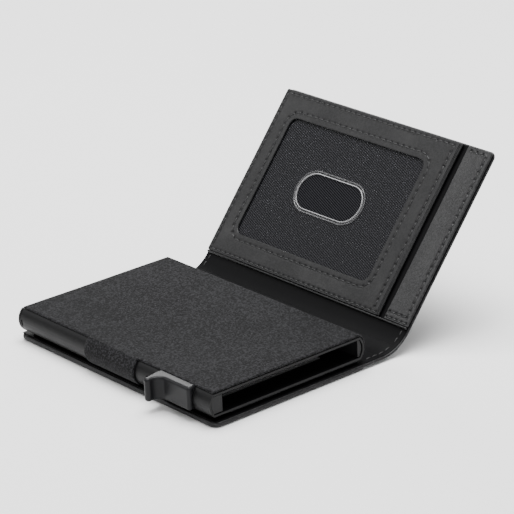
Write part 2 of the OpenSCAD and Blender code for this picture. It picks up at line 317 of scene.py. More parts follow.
def bonded_thread():
    """Bonded nylon thread, 0.4 mm, waxed: a soft glint along each stitch and a tight twist."""
    made, tree, shader = new_material("bonded nylon thread", Roughness=0.5, IOR=1.5)
    place = sheet_coordinates(tree)
    twist = noise(tree, place, 0.25 * MM, Detail=1)
    two_tone(tree, shader, twist, "#0a0a0b", "#1a1a1b")
    bump(tree, shader, twist, 0.04 * MM, 0.8)
    return made


def clear_vinyl(name, alpha, rough):
    """Clear soft vinyl, slightly rippled, so its gloss breaks up."""
    made, tree, shader = new_material(name, Roughness=rough, IOR=1.53, Alpha=alpha)
    place = piece_coordinates(tree)
    ripple = noise(tree, place, 7 * MM, Detail=2)
    two_tone(tree, shader, ripple, "#2c2c2e", "#3e3e40")
    bump(tree, shader, ripple, 0.05 * MM, 0.3)
    return made


def moulded_bead():
    """Clear vinyl moulded in two ridges, with painted highlights: each ridge is coloured near white, the inner
    one brighter, and the channel between is dark grey and mostly clear.
    """
    made, tree, shader = new_material("clear vinyl with painted ridge highlights", Roughness=0.12, Alpha=0.2)
    across = add(tree, "ShaderNodeSeparateXYZ", {"Vector": sheet_coordinates(tree)}).outputs["Y"]
    ridges = []
    # Each ridge is a painted highlight line, brightest and most opaque on its crest.
    for middle, strength, width in ((0.42 * MM, 0.3, 0.34 * MM), (1.32 * MM, 0.85, 0.2 * MM)):
        away = add(tree, "ShaderNodeMath", {0: across, 1: middle}, operation="SUBTRACT").outputs["Value"]
        near = add(tree, "ShaderNodeMath", {0: away}, operation="ABSOLUTE").outputs["Value"]
        ridges.append(add(tree, "ShaderNodeMapRange", {
            "Value": near, "From Max": width, "To Min": strength, "To Max": 0.0}).outputs["Result"])
    both = add(tree, "ShaderNodeMath", {0: ridges[0], 1: ridges[1]}, operation="MAXIMUM").outputs["Value"]
    # Painted highlight: the ridge lines are near white, the channel dark grey.
    two_tone(tree, shader, both, "#2a2a2c", "#d8d8da")
    tree.links.new(ranged(tree, both, 0.12, 0.95), shader.inputs["Alpha"])
    ripple = noise(tree, piece_coordinates(tree), 5 * MM)
    bump(tree, shader, ripple, 0.04 * MM, 0.3)
    return made


# The panels are the same leather; the side panel shows more grain because it is not stretched, and its lighter
# colours are painted sheen.
panel_leather = grained_leather("panel leather", "#070708", "#19191a", 0.42, 0.5 * MM, 0.035 * MM)
side_leather_painted_sheen = grained_leather("side panel leather, painted sheen", "#0d0d0e", "#272728", 0.36, 0.45 * MM, 0.06 * MM)
cover_leather = grained_leather("outer leather", "#0d0d0e", "#212122", 0.42, 0.6 * MM, 0.05 * MM)
suede = nubuck_suede()
twill = twill_cloth()
lining_face = coated_lining()
shell_metal = anodised_shell()
guide_plastic = moulded("moulded guide plastic", "#0d0d0e", "#151516", 0.5, 0.3 * MM)
slider_plastic = moulded("satin slider plastic", "#121213", "#1c1c1e", 0.36, 0.5 * MM, 0.14)
pin_steel = turned_steel()
felt = pressed_felt()
foam = foam_tape()
thread = bonded_thread()
clear_sheet = clear_vinyl("clear vinyl sheet", 0.03, 0.2)
clear_bead_with_painted_highlights = moulded_bead()


# ---------------------------------------------------------------- meshes of sheets and panels

ROLL_STEPS = np.array([0, 0.04, 0.14, 0.32, 0.6, 1.0])  # where grid lines cross a rolled edge
BUTT = 0.02 * MM        # how sharply a cut end that meets its neighbour is closed
FLAT_WARP = 5 * MM      # how far round an opening the grid is drawn in to its rounded corners
MERGE = 0.001 * MM      # points nearer than this are one


def fine_at_ends(low, high, roll, step, extra=(), butt=False):
    """Coordinates from low to high, close together over the rolled edges and at any extra lines."""
    near = roll * ROLL_STEPS
    middle = np.linspace(low + roll, high - roll, max(2, int(round((high - low - 2 * roll) / step)) + 1))
    lines = [low + near, high - near, middle]
    for line in extra:
        lines += [line - near, line + near]
    if butt:
        lines.append(high - BUTT * np.array([0, 0.3, 1, 3]))
    joined = np.sort(np.concatenate(lines))
    keep = np.concatenate([[True], np.diff(joined) > 0.002 * MM])
    inside = (joined >= low - 1e-9) & (joined <= high + 1e-9)
    return joined[keep & inside]


def rolled(distance, roll):
    """How far a rolled edge falls, from 1 at the cut to 0 one roll inside it."""
    inside = np.clip(distance / roll, 0, 1)
    return 1 - np.sqrt(1 - (1 - inside) ** 2)


def finished_mesh(name, points, faces, material, flat=None):
    """A smooth mesh object at the origin, with its places on the flat piece as a UV map."""
    mesh = bpy.data.meshes.new(name)
    mesh.from_pydata(np.asarray(points).tolist(), [], faces)
    if flat is not None:
        corners = np.empty(len(mesh.loops), np.int32)
        mesh.loops.foreach_get("vertex_index", corners)
        layer = mesh.uv_layers.new(name="flat")
        layer.data.foreach_set("uv", np.asarray(flat)[corners].astype(np.float32).ravel())
    work = bmesh.new()
    work.from_mesh(mesh)
    bmesh.ops.remove_doubles(work, verts=work.verts, dist=MERGE)
    bmesh.ops.delete(work, geom=[v for v in work.verts if not v.link_faces], context="VERTS")
    bmesh.ops.recalc_face_normals(work, faces=work.faces)
    work.to_mesh(mesh)
    work.free()
    mesh.shade_smooth()
    for face in mesh.polygons:
        if len(face.vertices) > 4:
            face.use_smooth = False
    mesh.materials.append(material)
    made = bpy.data.objects.new(name, mesh)
    bpy.context.scene.collection.objects.link(made)
    return made


def two_faced(name, grid, flat, top, under, place, material, inside):
    """A closed skin: its top and underside share a grid and meet where their heights are equal."""
    rows, columns = grid[0].shape
    index = np.arange(rows * columns).reshape(rows, columns)
    quads = np.stack([index[:-1, :-1], index[1:, :-1], index[1:, 1:], index[:-1, 1:]], axis=-1).reshape(-1, 4)
    middle = [axis.ravel()[quads].mean(axis=1) for axis in grid]
    quads = quads[inside(*middle)]
    count = rows * columns
    points = np.concatenate([place(*flat, height).reshape(-1, 3) for height in (top, under)])
    faces = np.concatenate([quads, quads[:, ::-1] + count])
    uv = np.concatenate([np.stack(flat, axis=-1).reshape(-1, 2)] * 2)
    return finished_mesh(name, points, faces.tolist(), material, uv)


def panel(name, x_range, s_range, d_range, place, material, roll, corner=0.6 * MM, step=0.8 * MM,
          relief=None, under_relief=None, opening=None, butt=False, warp=None, top_share=0.5, creases=()):
    """A rectangular sheet with rolled edges, rounded corners and perhaps an opening with round corners.

    top_share is how much of the thickness rolls over from the top; the rest rolls up from below.
    """
    (x0, x1), (s0, s1), (d0, d1) = x_range, s_range, d_range
    cut_x, cut_s = (creases, ()) if opening is None else (opening[0:2] + creases, opening[2:4])
    grid = np.meshgrid(fine_at_ends(x0, x1, roll, step, cut_x), fine_at_ends(s0, s1, roll, step, cut_s, butt),
                       indexing="ij")
    to_x = np.minimum(grid[0] - x0, x1 - grid[0])
    far = s1 - grid[1]
    to_s = np.minimum(grid[1] - s0, far * roll / BUTT if butt else far)
    depth = np.minimum(to_x, to_s)
    square = (grid[1] > (s0 + s1) / 2) if butt else np.zeros(to_x.shape, bool)
    in_x = np.where(square, 0, np.clip(corner - to_x, 0, corner))
    in_s = np.where(square, 0, np.clip(corner - to_s, 0, corner))
    pull = np.where((in_x > 0) & (in_s > 0),
                    np.maximum(in_x, in_s) / np.maximum(np.hypot(in_x, in_s), 1e-12), 1)
    flat = [grid[0] + np.sign(grid[0] - (x0 + x1) / 2) * in_x * (pull - 1),
            grid[1] + np.sign(grid[1] - (s0 + s1) / 2) * in_s * (pull - 1)]
    inside = lambda x, s: np.ones(x.shape, bool)
    if opening is not None:
        ox0, ox1, os0, os1, radius = opening
        centre, half = ((ox0 + ox1) / 2, (os0 + os1) / 2), ((ox1 - ox0) / 2, (os1 - os0) / 2)
        p, q = (np.abs(grid[k] - centre[k]) - (half[k] - radius) for k in (0, 1))
        reach = np.maximum(p, q)
        depth = np.where(reach > radius - 1e-9, np.minimum(depth, reach - radius), 0)
        fade = np.clip((reach - radius) / FLAT_WARP, 0, 1)
        fade = fade * fade * (3 - 2 * fade)
        draw = np.where((p > 0) & (q > 0), reach / np.maximum(np.hypot(p, q), 1e-12), 1)
        draw = np.where((p > 0) & (q > 0), draw + (1 - draw) * fade, 1)
        for k, part in ((0, p), (1, q)):
            flat[k] = flat[k] + np.sign(grid[k] - centre[k]) * np.where((p > 0) & (q > 0), part * (draw - 1), 0)
        inside = lambda x, s: (np.abs(x - centre[0]) > half[0]) | (np.abs(s - centre[1]) > half[1])
    if warp is not None:
        flat = list(warp(*flat))
    fall = rolled(depth, roll)
    top = d1 - top_share * (d1 - d0) * fall
    under = d0 + (1 - top_share) * (d1 - d0) * fall
    if relief is not None:
        top = top + relief(*flat) * (1 - fall)
    if under_relief is not None:
        under = under - under_relief(*flat) * (1 - fall)
    return two_faced(name, grid, flat, top, under, place, material, inside)


def skin(rings, looped=False):
    """Points and faces over closed rings of equal count; the ends are capped unless they are looped."""
    rings = np.array(rings)
    index = np.arange(rings.shape[0] * rings.shape[1]).reshape(rings.shape[:2])
    here, there = (index, np.roll(index, -1, axis=0)) if looped else (index[:-1], index[1:])
    quads = np.stack([here, np.roll(here, -1, axis=1), np.roll(there, -1, axis=1), there], axis=-1)
    faces = quads.reshape(-1, 4).tolist()
    if not looped:
        faces += [index[0][::-1].tolist(), index[-1].tolist()]
    return rings.reshape(-1, 3), faces


def arc(centre, radius, start, end, count):
    """Points along an arc in a plane, angles in degrees."""
    turns = np.radians(np.linspace(start, end, count))
    return [(centre[0] + radius * math.cos(t), centre[1] + radius * math.sin(t)) for t in turns]


def round_rect(x0, x1, s0, s1, radius):
    """A closed route round a rectangle with rounded corners."""
    points = []
    for cx, cs, start in ((x1 - radius, s0 + radius, -90), (x1 - radius, s1 - radius, 0),
                          (x0 + radius, s1 - radius, 90), (x0 + radius, s0 + radius, 180)):
        points += arc((cx, cs), radius, start, start + 90, 13)
    return points + points[:1]


def evenly(points, spacing):
    """The same route with points at an even spacing."""
    points = np.array(points, float)
    along = np.concatenate([[0], np.cumsum(np.hypot(*np.diff(points, axis=0).T))])
    wanted = np.linspace(0, along[-1], max(2, int(round(along[-1] / spacing)) + 1))
    return np.stack([np.interp(wanted, along, points[:, k]) for k in (0, 1)], axis=-1)


# ---------------------------------------------------------------- stitching

THREAD_R = 0.19 * MM
HOLE_R = 0.34 * MM      # how far the leather dips round a needle hole
TRACE_STEP = 0.1 * MM   # spacing of the points that trace a row
HALF_STITCH = 0.44      # half of a stitch's length, as a share of its pitch
SLANT = 0.09            # most that a stitch turns out of line, in radians


def stitch_row(points, pitch):
    """One row of stitches in flat coordinates: its fine trace, needle holes and stitch middles."""
    trace = evenly(points, TRACE_STEP)
    length = TRACE_STEP * (len(trace) - 1)
    places = np.linspace(0, len(trace) - 1, 2 * max(2, round(length / pitch)) + 1)
    at = np.stack([np.interp(places, np.arange(len(trace)), trace[:, k]) for k in (0, 1)], axis=-1)
    closed = np.hypot(*(trace[0] - trace[-1])) < 1e-6
    return {"trace": trace, "holes": at[0::2], "middles": at[1::2], "closed": closed}


def tree_of(sets):
    """A search tree over sets of flat points."""
    points = np.concatenate(sets)
    tree = kdtree.KDTree(len(points))
    for k, (x, s) in enumerate(points.tolist()):
        tree.insert((x, s, 0), k)
    tree.balance()
    return tree


def distances(tree, x, s):
    """How far each flat point is from the nearest point in a tree."""
    pairs = zip(x.ravel().tolist(), s.ravel().tolist())
    return np.array([tree.find((a, b, 0))[2] for a, b in pairs]).reshape(x.shape)


def pulled(rows, groove=0.07 * MM, pit=0.3 * MM, reach=0.45 * MM):
    """Relief that stitches pull into leather: a groove along each row, with a pit at each needle hole."""
    grooves, pits = tree_of([row["trace"] for row in rows]), tree_of([row["holes"] for row in rows])

    def relief(x, s):
        line, hole = distances(grooves, x, s), distances(pits, x, s)
        return -groove * np.exp(-(line / reach) ** 2) - pit * np.exp(-(hole / HOLE_R) ** 2)

    return relief


def stitch_shape(pitch):
    """One stitch along X: a thread that rises from one needle hole and goes down the next."""
    rings, along = [], []
    for t in np.linspace(-1, 1, 7):
        radius = THREAD_R * math.sqrt(max(0.12, 1 - t ** 6))
        turns = np.arange(6) * math.tau / 6
        rings.append(np.stack([np.full(6, HALF_STITCH * pitch * t), radius * 1.15 * np.cos(turns),
                               0.02 * MM - 0.22 * MM * t ** 4 + radius * np.sin(turns)], axis=-1))
        along += [(HALF_STITCH * pitch * t, THREAD_R * turn) for turn in turns]
    points, faces = skin(rings)
    return finished_mesh("stitch shape", points, faces, thread, along)


def stitch_nodes():
    """Sets a stitch on each point of a seam line, along the seam and standing out of the leather."""
    tree = bpy.data.node_groups.new("stitches on a seam", "GeometryNodeTree")
    made = {}
    for title, kind, direction in (
        ("Seam", "NodeSocketGeometry", "INPUT"), ("Stitch", "NodeSocketObject", "INPUT"),
        ("Thread", "NodeSocketMaterial", "INPUT"), ("Unevenness", "NodeSocketFloat", "INPUT"),
        ("Seed", "NodeSocketInt", "INPUT"), ("Stitches", "NodeSocketGeometry", "OUTPUT"),
    ):
        made[title] = tree.interface.new_socket(title, in_out=direction, socket_type=kind).identifier
    given = add(tree, "NodeGroupInput").outputs
    curve = add(tree, "GeometryNodeMeshToCurve", {"Mesh": given["Seam"]})
    lift = add(tree, "GeometryNodeInputNamedAttribute", {"Name": "lift"}, data_type="FLOAT_VECTOR")
    along = add(tree, "GeometryNodeInputTangent")
    turn = add(tree, "FunctionNodeAxesToRotation", {
        "Primary Axis": along.outputs["Tangent"], "Secondary Axis": lift.outputs["Attribute"]},
        primary_axis="X", secondary_axis="Z")
    least = add(tree, "ShaderNodeMath", {0: given["Unevenness"], 1: -1.0}, operation="MULTIPLY")
    jitter = add(tree, "FunctionNodeRandomValue", {"Seed": given["Seed"]}, data_type="FLOAT")
    tree.links.new(least.outputs["Value"], jitter.inputs[2])
    tree.links.new(given["Unevenness"], jitter.inputs[3])
    slant = add(tree, "ShaderNodeCombineXYZ", {"Z": jitter.outputs[1]})
    slanted = add(tree, "FunctionNodeEulerToRotation", {"Euler": slant.outputs["Vector"]})
    both = add(tree, "FunctionNodeRotateRotation", {
        "Rotation": turn.outputs["Rotation"], "Rotate By": slanted.outputs["Rotation"]}, rotation_space="LOCAL")
    shape = add(tree, "GeometryNodeObjectInfo", {"Object": given["Stitch"]})
    placed = add(tree, "GeometryNodeInstanceOnPoints", {
        "Points": curve.outputs["Curve"], "Instance": shape.outputs["Geometry"],
        "Rotation": both.outputs["Rotation"]})
    real = add(tree, "GeometryNodeRealizeInstances", {"Geometry": placed.outputs["Instances"]})
    coated = add(tree, "GeometryNodeSetMaterial", {
        "Geometry": real.outputs["Geometry"], "Material": given["Thread"]})
    add(tree, "NodeGroupOutput", {"Stitches": coated.outputs["Geometry"]})
    return tree, made


def sew(name, rows, place, height, side, pitch, seed):
    """A mesh of stitches on rows, where a place function and a height put the leather's face."""
    points, lifts, edges = [], [], []
    for row in rows:
        x, s = row["middles"].T
        here = place(x, s, np.full(len(x), height))
        out = place(x, s, np.full(len(x), height + side * MM)) - here
        first = sum(len(part) for part in points)
        edges += [(first + k, first + k + 1) for k in range(len(x) - 1)]
        if row["closed"]:
            edges.append((first + len(x) - 1, first))
        points.append(here)
        lifts.append(out / np.linalg.norm(out, axis=1, keepdims=True))
    mesh = bpy.data.meshes.new(name + " seam line")
    mesh.from_pydata(np.concatenate(points).tolist(), edges, [])
    lift = mesh.attributes.new("lift", "FLOAT_VECTOR", "POINT")
    lift.data.foreach_set("vector", np.concatenate(lifts).astype(np.float32).ravel())
    seam = bpy.data.objects.new(name + " seam line", mesh)
    bpy.context.scene.collection.objects.link(seam)
    shape = stitch_shape(pitch)
    modifier = seam.modifiers.new("stitches", "NODES")
    modifier.node_group = stitch_tree
    for title, value in (("Stitch", shape), ("Thread", thread), ("Unevenness", SLANT), ("Seed", seed)):
        modifier[stitch_sockets[title]] = value
    graph = bpy.context.evaluated_depsgraph_get()
    sewn = bpy.data.meshes.new_from_object(seam.evaluated_get(graph))
    sewn.name = name
    for spare in (seam, shape):
        bpy.data.objects.remove(spare)
    sewn.shade_smooth()
    made = bpy.data.objects.new(name, sewn)
    bpy.context.scene.collection.objects.link(made)
    return made


def line(x0, s0, x1, s1, pitch):
    """A straight row of stitches."""
    return stitch_row([(x0, s0), (x1, s1)], pitch)


stitch_tree, stitch_sockets = stitch_nodes()
mid_arc = arc_len / 2


def at(s, d=0.0):
    """The point on the cover's middle line at s."""
    return Vector(on_cover(np.array([0.0]), np.array([s]), np.array([d]))[0])


def dress(piece, nodes=(), body=None, fold=None):
    """Hides the CAD nodes a piece stands for; a piece on a fold has its transform baked, any other is parented
    to the body it moves with.
    """
    if nodes:
        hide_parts(*nodes)
    if fold == "base":
        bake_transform(piece)
    elif fold == "flap":
        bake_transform(piece)
    else:
        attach(piece, body)
    return piece


# ---------------------------------------------------------------- the case

case_low, case_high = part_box("case_shell")
wrap_low, wrap_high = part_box("case_wrap")
pad_low, pad_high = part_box("mounting_pad")
case_mid_z = (case_low.z + case_high.z) / 2
case_half_h = (case_high.z - case_low.z) / 2
BULGE = 1.7 * MM
side_r = (case_half_h ** 2 + BULGE ** 2) / (2 * BULGE)
front_y, back_y = case_low.y, case_high.y
corner_turn = math.atan2(case_half_h, side_r - BULGE)
wrap_t = wrap_high.z - case_high.z
under_t = case_low.z - pad_high.z
TAB_HALF = 12.5 * MM
WRAP_GAP = 0.03 * MM    # between the shell and the suede, so that no two faces share a place
SUEDE_ROLL = 0.42 * MM
EMBOSS_AT = (10.5 * MM, 51 * MM)    # faint pressed lines along the top, from its front edge


def wrap_profile():
    """Points and outward directions round the shell, from under the tab's end to under the base."""
    half_turn, points, outs = math.pi / 2, [], []

    def fan(y, z, start, end, radius, count):
        for turn in np.linspace(start, end, count):
            out = (math.cos(turn), math.sin(turn))
            points.append((y + radius * out[0], z + radius * out[1]))
            outs.append(out)

    near = WRAP_GAP
    front_centre, back_centre = front_y + side_r, back_y - side_r
    fan(front_y + BULGE, case_low.z, 1.5 * math.pi, math.pi + corner_turn, near, 7)
    fan(front_centre, case_mid_z, math.pi + corner_turn, math.pi - corner_turn, side_r + near, 30)
    fan(front_y + BULGE, case_high.z, math.pi - corner_turn, half_turn, near, 9)
    start_of_top = len(points) - 1
    for y in np.linspace(front_y + BULGE, back_y - BULGE, 110)[1:-1]:
        points.append((y, case_high.z + near))
        outs.append((0.0, 1.0))
    fan(back_y - BULGE, case_high.z, half_turn, corner_turn, near, 9)
    fan(back_centre, case_mid_z, corner_turn, -corner_turn, side_r + near, 30)
    fan(back_y - BULGE, case_low.z, -corner_turn, -half_turn, near, 7)
    for y in np.linspace(back_y - BULGE, front_y + BULGE + 5 * MM, 24)[1:]:
        points.append((y, case_low.z - near))
        outs.append((0.0, -1.0))
    return np.array(points), np.array(outs), start_of_top


def suede_wrap():
    """Suede round the case: a wide sheet with a tab that comes down over the front."""
    points, outs, first = wrap_profile()
    steps = np.hypot(*np.diff(points + outs * wrap_t / 2, axis=0).T)
    along = np.concatenate([[0], np.cumsum(steps)])
    along = along - along[first]
    roll = SUEDE_ROLL
    fine = np.sort(np.concatenate([along, roll * ROLL_STEPS[1:],
                                   along[0] + roll * np.array([0.05, 0.2, 0.5, 1.0])]))
    fine = fine[np.concatenate([[True], np.diff(fine) > 0.004 * MM])]
    xs = fine_at_ends(wrap_low.x, wrap_high.x, roll, 0.9 * MM, (-TAB_HALF, TAB_HALF))
    grid = np.meshgrid(xs, fine, indexing="ij")
    body = np.minimum(np.minimum(grid[0] - xs[0], xs[-1] - grid[0]), np.minimum(grid[1], fine[-1] - grid[1]))
    tab = np.minimum(TAB_HALF - np.abs(grid[0]), grid[1] - fine[0])
    fall = rolled(np.maximum(body, tab), roll)
    thin = np.interp(grid[1], along, np.where(outs[:, 1] < 0, np.minimum(
        wrap_t, under_t + (wrap_t - under_t) * (1 + outs[:, 1])), wrap_t))
    emboss = sum(np.exp(-((grid[1] - s) / (0.5 * MM)) ** 2) for s in EMBOSS_AT)
    inset = np.clip((44 * MM - np.abs(grid[0])) / (2 * MM), 0, 1)
    wave = np.sin(grid[0] / (9 * MM)) * np.sin(grid[1] / (7 * MM) + 1)
    top = thin * (1 - 0.5 * fall) - (0.05 * MM * emboss * inset - 0.03 * MM * wave) * (1 - fall) * (grid[1] > 0)
    top = np.minimum(top, thin)
    under = 0.5 * thin * fall

    def place(x, s, d):
        y, z = (np.interp(s, along, points[:, k]) for k in (0, 1))
        out_y, out_z = (np.interp(s, along, outs[:, k]) for k in (0, 1))
        return np.stack([x, y + d * out_y, z + d * out_z], axis=-1)

    inside = lambda x, s: (s > 0) | (np.abs(x) < TAB_HALF)
    made = two_faced("suede_wrap", grid, grid, top, under, place, suede, inside)
    span = xs[-1] - xs[0]
    cloth_area = span * fine[-1] + 2 * TAB_HALF * -fine[0]
    return made, (span, fine[-1] - fine[0]), cloth_area


wrap, wrap_flat, wrap_area = suede_wrap()
dress(wrap, ["case_wrap"], body="base")

pad = panel("bonding_pad", (pad_low.x, pad_high.x), (pad_low.y, pad_high.y), (pad_low.z, pad_high.z),
            on_base, foam, 0.15 * MM, corner=1.5 * MM, step=4 * MM)
dress(pad, ["mounting_pad"], body="base")

for node, material in (
    ("case_shell", shell_metal), ("end_cap", guide_plastic), ("front_rail", guide_plastic),
    ("rear_rail", guide_plastic), ("push_rod", guide_plastic), ("ejector_lever", guide_plastic),
    ("card_brake", felt), ("ejector_pivot", pin_steel), ("link_pin", pin_steel),
):
    for slot in frame["nodes"][node].material_slots:
        slot.material = material


def shell_face(z):
    """How far forward the bulged front of the shell stands at a height."""
    rise = np.clip(np.abs(z - case_mid_z), 0, case_half_h)
    return front_y + side_r - np.sqrt(side_r ** 2 - rise ** 2)


def thumb_slider():
    """Slider plate with a thumb hump, its edges rounded and its back hugging the shell."""
    low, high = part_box("thumb_slider")
    tip, dip, corner, edge = 1.2 * MM, 2.8 * MM, 1.0 * MM, 0.95 * MM
    left, right = low.x, high.x
    plate_out, shell_gap, tip_in, straight = 1.4 * MM, 0.1 * MM, 2.2 * MM, 4 * MM
    face = front_y - plate_out
    back = front_y - shell_gap
    tip_at = (left + tip_in, low.y + tip)
    rise = tip_at[1] - (face - dip)
    hollow = (tip_at[0] + math.sqrt((tip + dip) ** 2 - rise ** 2), face - dip)
    meet = -math.degrees(math.asin(rise / (tip + dip)))
    outline = [(left, back)]
    outline += arc(tip_at, tip, 190, 360 + meet, 22)
    outline += arc(hollow, dip, 180 + meet, 90, 18)
    outline += [(hollow[0] + straight, face)]
    outline += arc((right - corner, face + corner), corner, -90, 0, 8)
    outline += [(right, back)]
    path = evenly(outline, 0.15 * MM)
    tangent = np.gradient(path, axis=0)
    tangent /= np.linalg.norm(tangent, axis=1, keepdims=True)
    inward = np.stack([-tangent[:, 1], tangent[:, 0]], axis=-1)
    mid_z, half_h = (low.z + high.z) / 2, (high.z - low.z) / 2
    turns = np.radians(np.linspace(0, 90, 9))
    levels = [(-half_h + edge * (1 - math.cos(t)), 1 - math.sin(t)) for t in turns]
    levels += [(z, 0.0) for z in np.linspace(-half_h + edge, half_h - edge, 16)[1:-1]]
    levels += [(-z, inset) for z, inset in reversed(levels[:9])]
    rings = []
    for z, inset in levels:
        behind = shell_face(mid_z + z) - 0.08 * MM
        ring = path + inward * edge * inset
        ring[0, 1] = ring[-1, 1] = behind
        ring = np.stack([np.clip(ring[:, 0], left, right), np.minimum(ring[:, 1], behind)], axis=-1)
        rings.append(np.column_stack([ring, np.full(len(ring), mid_z + z)]))
    points, faces = skin(rings)
    neck = evenly(round_rect(left + 0.8 * MM, left + 7.6 * MM, front_y - 0.6 * MM, back + 2 * MM, 0.5 * MM),
                  0.4 * MM)[:-1]
    more, extra = skin([np.column_stack([neck, np.full(len(neck), case_mid_z + z)])
                        for z in np.linspace(-0.85 * MM, 0.85 * MM, 5)])
    faces += [[k + len(points) for k in face] for face in extra]
    return finished_mesh("thumb_slider", np.concatenate([points, more]), faces, slider_plastic)


dress(thumb_slider(), ["thumb_slider"], body="slider")

# ---------------------------------------------------------------- the cover, inside

base_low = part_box("base_cover")[0]
base_lining_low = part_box("base_lining")[0]
pocket_low, pocket_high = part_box("pocket_panel")
flap_high = flap_extent("flap_cover")[1]
lining_high = flap_extent("flap_lining")[1]
LEATHER_ROLL = 0.35 * MM
PITCH = 2.6 * MM
base_front_s = base_low.y - fold_a.y
lining_front_s = base_lining_low.y - fold_a.y
flap_top_s = arc_len + flap_high[1]
EDGE_IN = 2.2 * MM      # from a cut edge to its row of stitches
LINING_ROW_X = 47.4 * MM    # the lining's two rows, from its middle
LINING_ROLL = 0.14 * MM

lining_rows = [line(x, -5.5 * MM, x, mid_arc - 0.6 * MM, PITCH) for x in (-LINING_ROW_X, LINING_ROW_X)]
lining_a = panel("base_lining", (-lining_x, lining_x), (lining_front_s, mid_arc), (-lining_t, 0), on_cover,
                 lining_face, LINING_ROLL, relief=pulled(lining_rows, 0.08 * MM, 0.12 * MM), butt=True)
dress(lining_a, ["base_lining", "spine_lining"], fold="base")


def from_middle(s_end):
    """A place function for the flap's half of the cover, running from its far edge back to the middle."""
    return lambda x, s, d: on_cover(x, s_end - s, d)


lining_end = arc_len + lining_high[1]
flap_lining_rows = [line(x, mid_arc + 0.6 * MM, x, arc_len + 0.5 * MM, PITCH)
                    for x in (-LINING_ROW_X, LINING_ROW_X)]
lining_b = panel("flap_lining", (-lining_x, lining_x), (0, lining_end - mid_arc), (-lining_t, 0),
                 from_middle(lining_end), lining_face, LINING_ROLL, butt=True)
dress(lining_b, ["flap_lining"], fold="flap")

for name, rows, fold, seed in (("base_lining_stitches", lining_rows, "base", 3),
                               ("flap_lining_stitches", flap_lining_rows, "flap", 5)):
    dress(sew(name, rows, on_cover, -0.02 * MM, 1, PITCH, seed), fold=fold)

# ---------------------------------------------------------------- the cover, outside

outer_d = (-lining_t - leather_t, -lining_t)
side_x = cover_x - EDGE_IN
underside_rows = [line(x, pocket_high.y - fold_a.y + 1.5 * MM, x, mid_arc - 0.8 * MM, PITCH)
                  for x in (-side_x, side_x)]
cover_a = panel("base_and_spine_leather", (-cover_x, cover_x), (base_front_s, mid_arc), outer_d, on_cover,
                cover_leather, 0.6 * MM, corner=3.2 * MM, under_relief=pulled(underside_rows), butt=True,
                top_share=0.94)
dress(cover_a, ["base_cover", "spine_cover"], fold="base")
dress(sew("spine_stitches", underside_rows, on_cover, outer_d[0] + 0.08 * MM, -1, PITCH, 7),
      fold="base")

run = flap_top_s - mid_arc
back_rows = [stitch_row([(-side_x, run - 0.8 * MM), (-side_x, EDGE_IN), (side_x, EDGE_IN),
                         (side_x, run - 0.8 * MM)], PITCH)]
cover_b = panel("flap_leather", (-cover_x, cover_x), (0, run), outer_d, from_middle(flap_top_s),
                cover_leather, LEATHER_ROLL, corner=2.2 * MM, under_relief=pulled(back_rows), butt=True)
dress(cover_b, ["flap_cover"], fold="flap")
dress(sew("flap_back_stitches", back_rows, from_middle(flap_top_s), outer_d[0] + 0.08 * MM, -1, PITCH, 11),
      fold="flap")

mouth_y = pocket_high.y
pocket_rows = [stitch_row([(-side_x, mouth_y - 1.2 * MM), (-side_x, pocket_low.y + EDGE_IN),
                           (side_x, pocket_low.y + EDGE_IN), (side_x, mouth_y - 1.2 * MM)], PITCH)]


def sagging(x, s):
    """The pocket's mouth hangs a little towards its middle."""
    near = np.clip((s - (mouth_y - 18 * MM)) / (18 * MM), 0, 1) ** 2
    return x, s - 0.5 * MM * near * np.cos(np.clip(x / cover_x, -1, 1) * math.pi / 2)


pocket = panel("exterior_pocket", (-cover_x, cover_x), (pocket_low.y, mouth_y),
               (0, pocket_high.z - 0.01 * MM), on_base, cover_leather, 0.9 * MM, corner=3.2 * MM, warp=sagging,
               under_relief=pulled(pocket_rows, 0.2 * MM), top_share=0.03)
dress(pocket, ["pocket_panel"], body="base")
dress(sew("pocket_stitches", pocket_rows, on_base, 0.22 * MM, -1, PITCH, 13), body="base")

# ---------------------------------------------------------------- the flap's panels

back_low, back_high = flap_extent("id_backing")
twill_sheet = panel("twill_backing", (back_low[0], back_high[0]), (back_low[1], back_high[1]),
                    (back_low[2], back_high[2] - 0.03 * MM), on_flap, twill, 0.07 * MM, step=1.5 * MM)
dress(twill_sheet, ["id_backing"], body="flap")

rim_low, rim_high = flap_extent("thumb_rim")
clear_low, clear_high = flap_extent("id_window")
rim_band = 1.7 * MM
hole_r = (rim_high[1] - rim_low[1]) / 2 - rim_band
hole = (rim_low[0] + rim_band, rim_high[0] - rim_band, rim_low[1] + rim_band, rim_high[1] - rim_band, hole_r)
window = panel("clear_window", (clear_low[0], clear_high[0]), (clear_low[1], clear_high[1]),
               (clear_low[2] + 0.02 * MM, clear_high[2] - 0.02 * MM), on_flap, clear_sheet,
               0.07 * MM, opening=hole)
dress(window, ["id_window"], body="flap")


